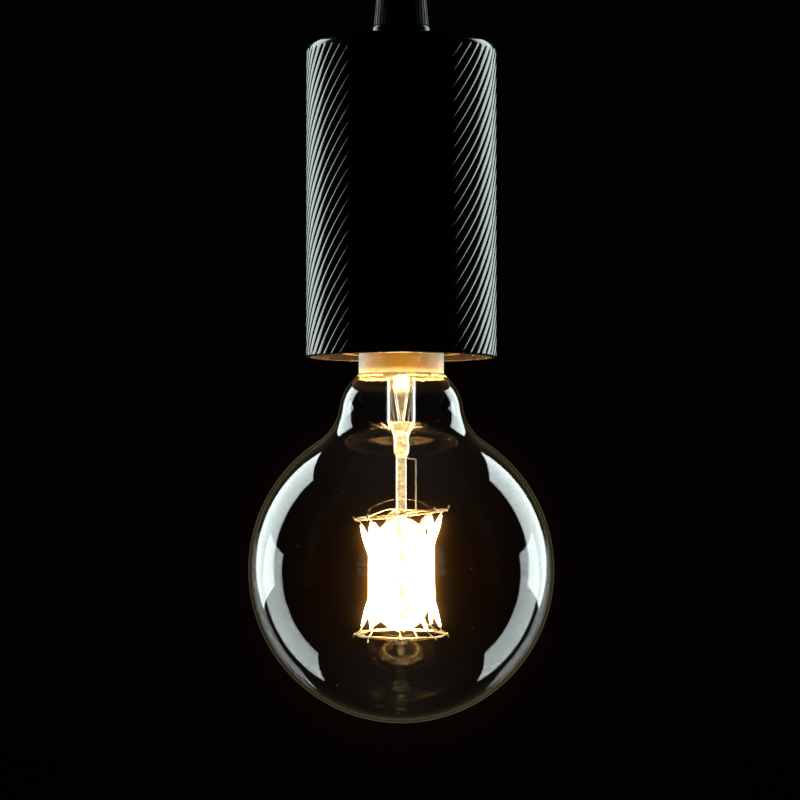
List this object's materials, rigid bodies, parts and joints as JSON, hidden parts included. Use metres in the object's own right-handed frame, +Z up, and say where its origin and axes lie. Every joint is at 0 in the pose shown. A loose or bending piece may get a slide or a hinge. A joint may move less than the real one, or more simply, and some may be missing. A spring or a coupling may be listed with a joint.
{
  "type": "pendant lampholder with led filament bulb",
  "caption": "Spiral reeded pendant lampholder with a ribbed cord grip and a clear globe filament bulb that screws out of its socket.",
  "frame": {"origin": "centre of the cord inlet, at the mouth on top of the cord grip; the whole part hangs below it", "axes": "+Z up along the cord and the axis of shell, socket and bulb; -Y faces the camera of the picture"},
  "size_m": [0.095, 0.095, 0.2395],
  "materials": {
    "shell_black": "satin black paint over turned and reeded metal",
    "grip_black": "matt black moulding with upright ribs",
    "base_black": "satin black paint",
    "bush_rubber": "soft black rubber",
    "brass": "turned brass",
    "spring_brass": "rolled spring brass",
    "zinc_steel": "zinc plated steel",
    "bakelite": "black brown moulded phenolic",
    "porcelain": null,
    "solder": "tinned contact",
    "cap_nickel": "bright rolled cap metal",
    "black_glass": "black cap insulator",
    "ivory": "ivory collar, a little translucent",
    "cement": "yellow capping cement",
    "clear_glass": "clear blown glass",
    "stem_glass": "clear drawn glass with small bubbles",
    "rod_glass": "clear glass rod with a frosty core",
    "lead_wire": "oxidised nickel iron wire",
    "cage_wire": "warm lit spring wire",
    "phosphor": null,
    "board_green": "green solder mask",
    "capacitor_sleeve": "dark blue shrink sleeve",
    "chip_black": "black epoxy",
    "resistor_blue": "pale blue lacquer",
    "wire_red": "red insulation"
  },
  "bodies": {
    "lampholder": {"spiral_shell": "shell_black", "cord_grip": "grip_black", "grip_bush": "bush_rubber", "grip_base": "base_black", "threaded_tube": "brass", "fixing_washer": "zinc_steel", "earth_tag": "zinc_steel", "earth_screw": "brass", "fixing_nut": "brass", "dome_locknut": "brass", "socket_dome": "bakelite", "socket_skirt": "bakelite", "thread_sleeve": "brass", "terminal_block": "porcelain", "centre_contact": "spring_brass", "sleeve_contact": "spring_brass", "wire_clamps": "brass", "terminal_screws": "zinc_steel"},
    "bulb_tip": {"tip_contact": "solder"},
    "bulb": {"cap_shell": "cap_nickel", "cap_insulator": "black_glass", "cap_collar": "ivory", "cement_bead": "cement", "glass_globe": "clear_glass", "flare_tube": "stem_glass", "exhaust_tube": "stem_glass", "stem_press": "stem_glass", "glass_rod": "rod_glass", "lead_wires": "lead_wire", "upper_lead": "lead_wire", "lower_lead": "lead_wire", "upper_ring": "cage_wire", "lower_ring": "cage_wire", "ring_supports": "cage_wire", "driver_board": "board_green", "driver_capacitor": "capacitor_sleeve", "bridge_rectifier": "chip_black", "driver_chip": "chip_black", "fuse_resistor": "resistor_blue", "cap_wires": "wire_red", "filament_1": "phosphor", "filament_2": "phosphor", "filament_3": "phosphor", "filament_4": "phosphor", "filament_5": "phosphor", "filament_6": "phosphor", "filament_7": "phosphor", "filament_8": "phosphor"}
  },
  "joints": [
    {"name": "bulb_drop", "type": "slide", "parent": "lampholder", "child": "bulb_tip", "axis": [0, 0, -1], "range_m": [0, 0.01815]},
    {"name": "bulb_turn", "type": "hinge", "parent": "bulb_tip", "child": "bulb", "pos_m": [0, 0, -0.114], "axis": [0, 0, -1], "range_deg": [0, 1800]}
  ],
  "couplings": [
    {"joint": "bulb_drop", "follows": "bulb_turn", "m_per_rad": 0.00057757}
  ]
}
